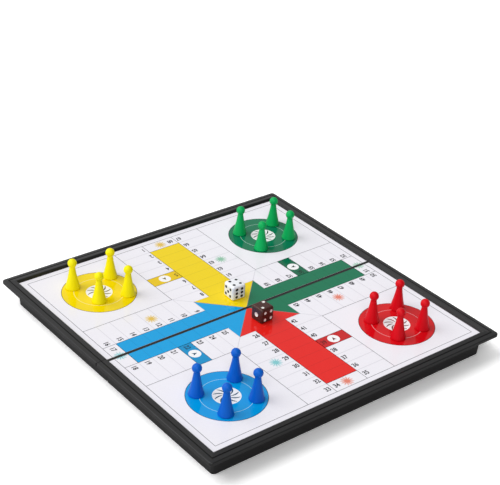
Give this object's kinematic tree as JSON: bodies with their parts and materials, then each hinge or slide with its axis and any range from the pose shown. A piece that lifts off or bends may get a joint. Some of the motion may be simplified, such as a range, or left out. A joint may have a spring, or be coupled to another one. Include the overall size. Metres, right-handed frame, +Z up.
{
  "type": "folding ludo board box",
  "caption": "Square folding board for a cross-and-circle race game, made of hinged half boxes that close round the loose pawns and dice standing on it.",
  "frame": {"origin": "middle of the open board, on the table", "axes": "+X along the fold, +Y from the near half towards the far half, +Z up from the table"},
  "size_m": [0.2508, 0.2508, 0.0406],
  "materials": {
    "black_plastic": "satin moulded plastic",
    "hinge_plastic": "smooth tough plastic",
    "steel_sheet": "plain rolled sheet",
    "printed_laminate": "glossy laminated print",
    "magnet": "plated magnet disc",
    "yellow_plastic": "satin moulded plastic",
    "green_plastic": "satin moulded plastic",
    "red_plastic": "satin moulded plastic",
    "blue_plastic": "satin moulded plastic",
    "white_plastic": "polished moulded plastic",
    "brown_plastic": "polished moulded plastic"
  },
  "bodies": {
    "near_half": {"near_tray": "black_plastic", "near_steel_sheet": "steel_sheet", "near_printed_sheet": "printed_laminate", "near_closing_magnets": "magnet"},
    "hinge_links": {"left_hinge_link": "hinge_plastic", "right_hinge_link": "hinge_plastic"},
    "far_half": {"far_tray": "black_plastic", "far_steel_sheet": "steel_sheet", "far_printed_sheet": "printed_laminate", "far_closing_magnets": "magnet"},
    "yellow_pawn_1": {"yellow_pawn_1": "yellow_plastic", "yellow_pawn_magnet_1": "magnet"},
    "yellow_pawn_2": {"yellow_pawn_2": "yellow_plastic", "yellow_pawn_magnet_2": "magnet"},
    "yellow_pawn_3": {"yellow_pawn_3": "yellow_plastic", "yellow_pawn_magnet_3": "magnet"},
    "yellow_pawn_4": {"yellow_pawn_4": "yellow_plastic", "yellow_pawn_magnet_4": "magnet"},
    "green_pawn_1": {"green_pawn_1": "green_plastic", "green_pawn_magnet_1": "magnet"},
    "green_pawn_2": {"green_pawn_2": "green_plastic", "green_pawn_magnet_2": "magnet"},
    "green_pawn_3": {"green_pawn_3": "green_plastic", "green_pawn_magnet_3": "magnet"},
    "green_pawn_4": {"green_pawn_4": "green_plastic", "green_pawn_magnet_4": "magnet"},
    "red_pawn_1": {"red_pawn_1": "red_plastic", "red_pawn_magnet_1": "magnet"},
    "red_pawn_2": {"red_pawn_2": "red_plastic", "red_pawn_magnet_2": "magnet"},
    "red_pawn_3": {"red_pawn_3": "red_plastic", "red_pawn_magnet_3": "magnet"},
    "red_pawn_4": {"red_pawn_4": "red_plastic", "red_pawn_magnet_4": "magnet"},
    "blue_pawn_1": {"blue_pawn_1": "blue_plastic", "blue_pawn_magnet_1": "magnet"},
    "blue_pawn_2": {"blue_pawn_2": "blue_plastic", "blue_pawn_magnet_2": "magnet"},
    "blue_pawn_3": {"blue_pawn_3": "blue_plastic", "blue_pawn_magnet_3": "magnet"},
    "blue_pawn_4": {"blue_pawn_4": "blue_plastic", "blue_pawn_magnet_4": "magnet"},
    "white_die": {"white_die": "white_plastic"},
    "brown_die": {"brown_die": "brown_plastic"}
  },
  "joints": [
    {"name": "near_fold", "type": "hinge", "parent": "near_half", "child": "hinge_links", "pos_m": [0, -0.00165, 0.0015], "axis": [-1, 0, 0], "range_deg": [0, 90]},
    {"name": "far_fold", "type": "hinge", "parent": "hinge_links", "child": "far_half", "pos_m": [0, 0.00165, 0.0015], "axis": [-1, 0, 0], "range_deg": [0, 90]},
    {"name": "yellow_pawn_1_lift", "type": "slide", "parent": "far_half", "child": "yellow_pawn_1", "axis": [0, 0, 1], "range_m": [0, 0.04]},
    {"name": "yellow_pawn_2_lift", "type": "slide", "parent": "far_half", "child": "yellow_pawn_2", "axis": [0, 0, 1], "range_m": [0, 0.04]},
    {"name": "yellow_pawn_3_lift", "type": "slide", "parent": "far_half", "child": "yellow_pawn_3", "axis": [0, 0, 1], "range_m": [0, 0.04]},
    {"name": "yellow_pawn_4_lift", "type": "slide", "parent": "far_half", "child": "yellow_pawn_4", "axis": [0, 0, 1], "range_m": [0, 0.04]},
    {"name": "green_pawn_1_lift", "type": "slide", "parent": "far_half", "child": "green_pawn_1", "axis": [0, 0, 1], "range_m": [0, 0.04]},
    {"name": "green_pawn_2_lift", "type": "slide", "parent": "far_half", "child": "green_pawn_2", "axis": [0, 0, 1], "range_m": [0, 0.04]},
    {"name": "green_pawn_3_lift", "type": "slide", "parent": "far_half", "child": "green_pawn_3", "axis": [0, 0, 1], "range_m": [0, 0.04]},
    {"name": "green_pawn_4_lift", "type": "slide", "parent": "far_half", "child": "green_pawn_4", "axis": [0, 0, 1], "range_m": [0, 0.04]},
    {"name": "red_pawn_1_lift", "type": "slide", "parent": "near_half", "child": "red_pawn_1", "axis": [0, 0, 1], "range_m": [0, 0.04]},
    {"name": "red_pawn_2_lift", "type": "slide", "parent": "near_half", "child": "red_pawn_2", "axis": [0, 0, 1], "range_m": [0, 0.04]},
    {"name": "red_pawn_3_lift", "type": "slide", "parent": "near_half", "child": "red_pawn_3", "axis": [0, 0, 1], "range_m": [0, 0.04]},
    {"name": "red_pawn_4_lift", "type": "slide", "parent": "near_half", "child": "red_pawn_4", "axis": [0, 0, 1], "range_m": [0, 0.04]},
    {"name": "blue_pawn_1_lift", "type": "slide", "parent": "near_half", "child": "blue_pawn_1", "axis": [0, 0, 1], "range_m": [0, 0.04]},
    {"name": "blue_pawn_2_lift", "type": "slide", "parent": "near_half", "child": "blue_pawn_2", "axis": [0, 0, 1], "range_m": [0, 0.04]},
    {"name": "blue_pawn_3_lift", "type": "slide", "parent": "near_half", "child": "blue_pawn_3", "axis": [0, 0, 1], "range_m": [0, 0.04]},
    {"name": "blue_pawn_4_lift", "type": "slide", "parent": "near_half", "child": "blue_pawn_4", "axis": [0, 0, 1], "range_m": [0, 0.04]},
    {"name": "white_die_lift", "type": "slide", "parent": "far_half", "child": "white_die", "axis": [0, 0, 1], "range_m": [0, 0.04]},
    {"name": "brown_die_lift", "type": "slide", "parent": "near_half", "child": "brown_die", "axis": [0, 0, 1], "range_m": [0, 0.04]}
  ]
}
